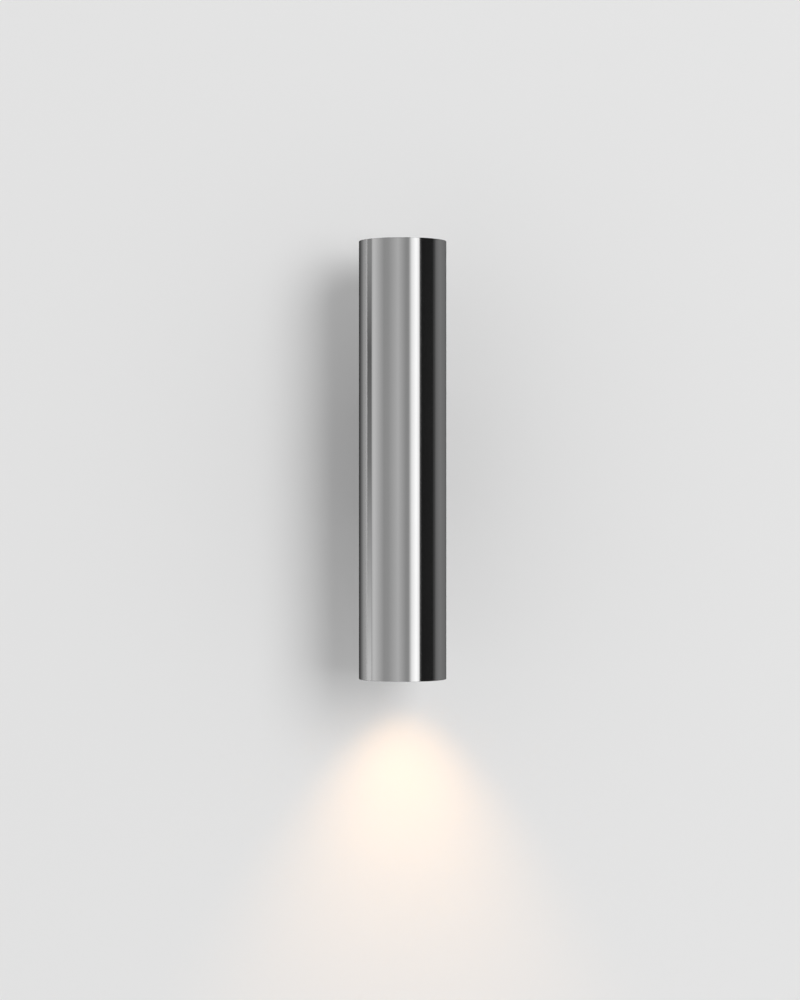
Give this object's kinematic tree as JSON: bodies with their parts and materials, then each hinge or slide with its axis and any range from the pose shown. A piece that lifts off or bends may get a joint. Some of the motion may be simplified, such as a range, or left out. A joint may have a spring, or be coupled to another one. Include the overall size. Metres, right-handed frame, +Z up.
{
  "type": "tube wall light",
  "caption": "Polished steel tube that stands off a wall on a hidden bracket and casts one warm downlight from its open end.",
  "frame": {"origin": "on the wall face, midway between the bracket's two wall screws and on the axis of its cable hole", "axes": "+X to the right when facing the wall, +Y into the wall, +Z up along the tube"},
  "size_m": [0.06, 0.09, 0.3],
  "materials": {
    "tube": "polished stainless steel",
    "satin_aluminium": "satin",
    "black_anodised": "matt black anodised",
    "zinc_steel": "zinc plated",
    "black_steel": "black oxide",
    "black_rubber": "matt",
    "foam": "foamed, matt",
    "silicone": "matt translucent white",
    "nylon": "natural nylon",
    "black_plastic": "moulded",
    "brass": "bright",
    "tinned_brass": "nickel plated",
    "copper": "bare copper",
    "brown_insulation": "silicone insulation",
    "blue_insulation": "silicone insulation",
    "earth_insulation": "silicone insulation, green with a yellow stripe",
    "ceramic": "unglazed",
    "lamp_white": "white",
    "lamp_base_plastic": "white",
    "lamp_lens": "clear",
    "led": "warm white light source",
    "led_board": "white coated",
    "driver_board": "circuit board",
    "glass": "clear"
  },
  "bodies": {
    "wall_bracket": {"wall_bracket": "zinc_steel", "cable_grommet": "black_rubber", "bracket_earth_washer": "zinc_steel", "bracket_earth_screw": "zinc_steel"},
    "housing": {"canopy": "satin_aluminium", "wall_seal": "foam", "hook_rods": "zinc_steel", "saddle_gasket": "black_rubber", "saddle_washers": "zinc_steel", "saddle_screws": "zinc_steel", "tube": "tube", "tube_grommet": "black_rubber", "top_cap": "satin_aluminium", "cap_seal": "black_rubber", "backing_bar": "zinc_steel", "chassis": "zinc_steel", "chassis_screw": "zinc_steel", "earth_tag": "tinned_brass", "earth_screw": "zinc_steel", "cord_grip": "black_plastic", "cord_grip_screws": "zinc_steel", "terminal_block": "nylon", "terminal_block_screws": "zinc_steel", "terminal_inserts": "brass", "terminal_screws": "brass", "wire_cores": "copper", "live_wire": "brown_insulation", "neutral_wire": "blue_insulation", "earth_wire": "earth_insulation", "lampholder_face": "ceramic", "lampholder_body": "ceramic", "lampholder_contacts": "brass", "lampholder_screws": "zinc_steel", "lampholder_nuts": "zinc_steel", "mouth_collar": "satin_aluminium"},
    "lock_pad": {"lock_pad": "nylon"},
    "lock_screw": {"lock_screw": "black_steel"},
    "lamp": {"lamp_shell": "lamp_white", "lamp_lens": "lamp_lens", "lamp_led": "led", "lamp_led_board": "led_board", "lamp_driver_board": "driver_board", "lamp_base": "lamp_base_plastic", "lamp_pins": "tinned_brass"},
    "lens": {"glass_lens": "glass", "lens_gasket": "silicone"},
    "glare_ring": {"glare_ring": "black_anodised"}
  },
  "joints": [
    {"name": "hang_lift", "type": "slide", "parent": "wall_bracket", "child": "housing", "axis": [0, 0, 1], "range_m": [0, 0.006]},
    {"name": "lock_pad_travel", "type": "slide", "parent": "housing", "child": "lock_pad", "axis": [1, 0, 0], "range_m": [0, 0.0021]},
    {"name": "lock_screw_turn", "type": "hinge", "parent": "lock_pad", "child": "lock_screw", "pos_m": [0.0205, -0.014, 0], "axis": [1, 0, 0], "range_deg": [0, 1080]},
    {"name": "lamp_turn", "type": "hinge", "parent": "housing", "child": "lamp", "pos_m": [0, -0.06, -0.0778], "axis": [0, 0, -1], "range_deg": [0, 30]},
    {"name": "lens_drop", "type": "slide", "parent": "housing", "child": "lens", "axis": [0, 0, -1], "range_m": [0, 0.006]},
    {"name": "glare_ring_turn", "type": "hinge", "parent": "lens", "child": "glare_ring", "pos_m": [0, -0.06, -0.139], "axis": [0, 0, -1], "range_deg": [0, 1440]}
  ],
  "couplings": [
    {"joint": "lens_drop", "follows": "glare_ring_turn", "m_per_rad": 0.00023873},
    {"joint": "lock_screw_turn", "follows": "lock_pad_travel", "rad_per_m": 8976}
  ]
}
